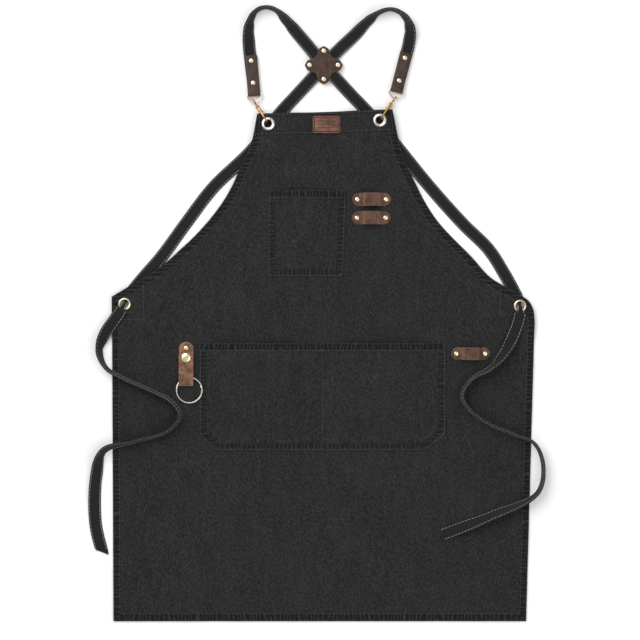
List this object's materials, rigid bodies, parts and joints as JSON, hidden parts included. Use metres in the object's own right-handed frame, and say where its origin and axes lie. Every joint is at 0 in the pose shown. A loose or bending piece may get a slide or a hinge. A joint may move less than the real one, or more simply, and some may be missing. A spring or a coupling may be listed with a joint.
{
  "type": "work apron",
  "caption": "Cross-back work apron of black denim, laid flat, with leather tabs, snap hooks, pockets, tool loops and straps that end as waist ties.",
  "frame": {"origin": "centre of the cloth body's box on the surface that the apron lies on", "axes": "+X to the right of the laid-out apron seen from its front, +Y from hem to bib, +Z out of the cloth's face"},
  "size_m": [0.7278, 0.9824, 0.0227],
  "materials": {
    "denim": "washed charcoal-black cotton denim",
    "webbing": "black woven cotton strap with pale edge stitching",
    "label_leather": "copper-brown waxed leather",
    "tan_leather": "tan-brown oiled leather",
    "patch_leather": "reddish-brown oiled leather",
    "loop_leather": "brown oiled leather with paler edges",
    "dark_leather": "dark brown oiled leather",
    "antique_brass": "antique brass plating",
    "pale_brass": "polished pale brass",
    "nickel": "polished nickel"
  },
  "bodies": {
    "apron": {"apron_panel": "denim", "bib_facing": "denim", "chest_pocket": "denim", "cross_patch_back": "patch_leather", "cross_patch_front": "patch_leather", "cutter_loop": "loop_leather", "cutter_loop_rivet_left": "pale_brass", "cutter_loop_rivet_right": "pale_brass", "key_tab": "tan_leather", "key_tab_rivet": "pale_brass", "leather_label": "label_leather", "left_bib_grommet": "nickel", "left_bib_washer": "nickel", "left_corner_patch": "denim", "left_gate_pin": "nickel", "left_hook_body": "antique_brass", "left_strap": "webbing", "left_strap_tab": "dark_leather", "left_tab_rivet_1": "pale_brass", "left_tab_rivet_2": "pale_brass", "left_waist_grommet": "pale_brass", "left_waist_washer": "pale_brass", "lower_pen_loop": "loop_leather", "lower_pen_loop_rivet_left": "pale_brass", "lower_pen_loop_rivet_right": "pale_brass", "patch_rivet_left": "pale_brass", "patch_rivet_lower": "pale_brass", "patch_rivet_right": "pale_brass", "patch_rivet_upper": "pale_brass", "right_bib_grommet": "nickel", "right_bib_washer": "nickel", "right_corner_patch": "denim", "right_gate_pin": "nickel", "right_hook_body": "antique_brass", "right_strap": "webbing", "right_strap_tab": "dark_leather", "right_tab_rivet_1": "pale_brass", "right_tab_rivet_2": "pale_brass", "right_waist_grommet": "pale_brass", "right_waist_washer": "pale_brass", "snap_stud": "pale_brass", "upper_pen_loop": "loop_leather", "upper_pen_loop_rivet_left": "pale_brass", "upper_pen_loop_rivet_right": "pale_brass", "waist_pocket": "denim"},
    "left_d_ring": {"left_d_ring": "nickel"},
    "left_swivel_eye": {"left_swivel_eye": "antique_brass"},
    "left_hook_gate": {"left_hook_gate": "antique_brass"},
    "right_d_ring": {"right_d_ring": "nickel"},
    "right_swivel_eye": {"right_swivel_eye": "antique_brass"},
    "right_hook_gate": {"right_hook_gate": "antique_brass"},
    "key_flap": {"key_flap": "tan_leather", "snap_cap": "pale_brass", "snap_socket": "pale_brass"},
    "split_ring": {"split_ring": "nickel"}
  },
  "joints": [
    {"name": "left_gate_hinge", "type": "hinge", "parent": "apron", "child": "left_hook_gate", "pos_m": [-0.10082, 0.40897, 0.00203], "axis": [-0.8456, -0.5338, 0], "range_deg": [0, 15], "stiffness_Nm_per_rad": 0.004, "springref_deg": -11.46},
    {"name": "left_eye_swivel", "type": "hinge", "parent": "apron", "child": "left_swivel_eye", "pos_m": [-0.10808, 0.42047, 0.0068], "axis": [0.5322, -0.8431, 0.0767], "range_deg": [-8, 8]},
    {"name": "left_d_ring_turn", "type": "hinge", "parent": "apron", "child": "left_d_ring", "pos_m": [-0.10861, 0.43302, 0.006], "axis": [0.9964, 0.0848, 0], "range_deg": [-2, 2]},
    {"name": "right_gate_hinge", "type": "hinge", "parent": "apron", "child": "right_hook_gate", "pos_m": [0.10736, 0.41404, 0.00203], "axis": [-0.823, 0.5681, 0], "range_deg": [0, 15], "stiffness_Nm_per_rad": 0.004, "springref_deg": -11.46},
    {"name": "right_eye_swivel", "type": "hinge", "parent": "apron", "child": "right_swivel_eye", "pos_m": [0.11509, 0.42524, 0.0068], "axis": [-0.5664, -0.8206, 0.0767], "range_deg": [-8, 8]},
    {"name": "right_d_ring_turn", "type": "hinge", "parent": "apron", "child": "right_d_ring", "pos_m": [0.11888, 0.43904, 0.006], "axis": [0.969, -0.2472, 0], "range_deg": [-2, 2]},
    {"name": "key_flap_hinge", "type": "hinge", "parent": "apron", "child": "key_flap", "pos_m": [-0.2174, -0.0077, 0.0102], "axis": [1, 0, 0], "range_deg": [0, 80], "stiffness_Nm_per_rad": 0.002},
    {"name": "split_ring_turn", "type": "hinge", "parent": "apron", "child": "split_ring", "pos_m": [-0.2123, -0.0392, 0.0064], "axis": [0, 0, 1], "continuous": true}
  ]
}
